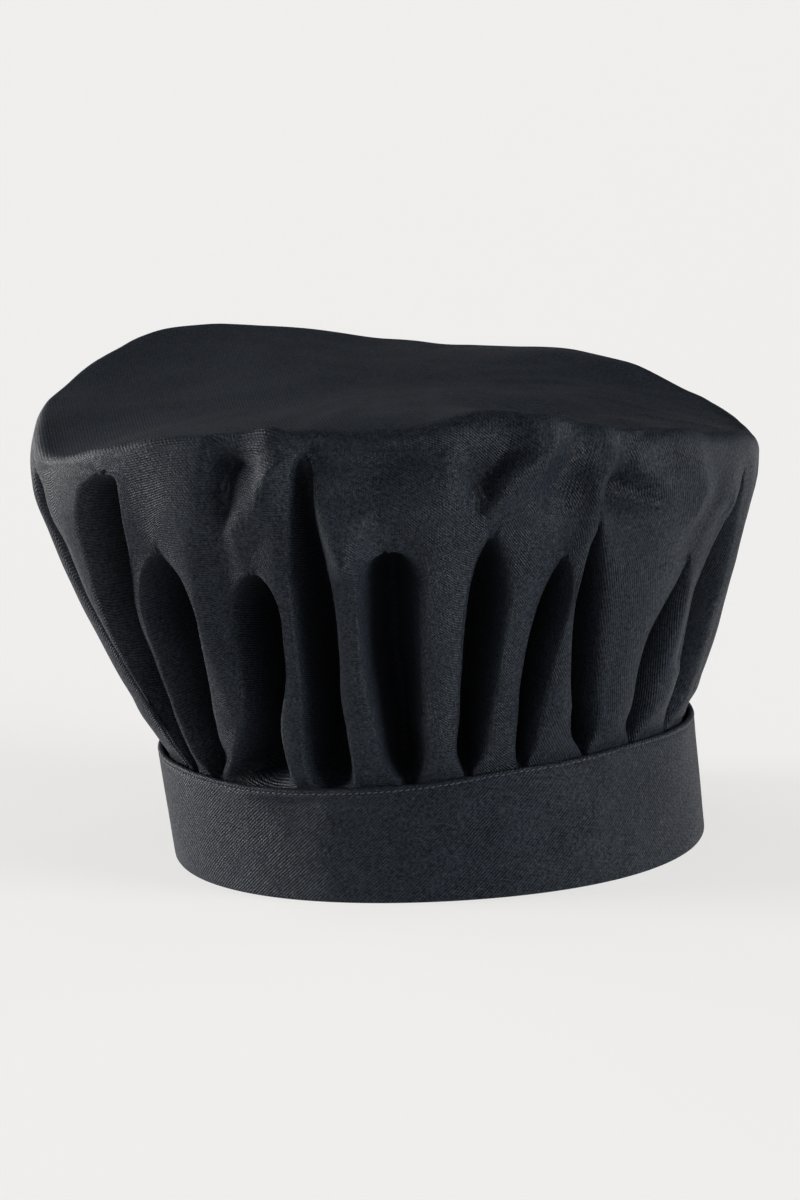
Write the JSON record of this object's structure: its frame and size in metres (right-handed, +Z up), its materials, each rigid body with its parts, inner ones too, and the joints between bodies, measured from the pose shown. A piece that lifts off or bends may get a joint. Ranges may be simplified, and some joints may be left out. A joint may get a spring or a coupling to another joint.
{
  "type": "chef hat",
  "caption": "Soft black chef hat: a wide floppy crown of twill gathered in deep folds into a straight folded band",
  "frame": {"origin": "middle of the hat's bounding box at the level of the band's lower edge, on which the hat rests", "axes": "+Z up, front of the hat towards -Y, +X to the right when looking at the front"},
  "size_m": [0.2431, 0.2414, 0.1655],
  "materials": {
    "crown_twill": "washed black cotton-blend twill, matt with a faint sheen on the turned edges",
    "band_twill": "the same twill folded double and topstitched along its upper edge in matching thread"
  },
  "bodies": {
    "root": {"crown": "crown_twill", "band": "band_twill"}
  },
  "joints": []
}
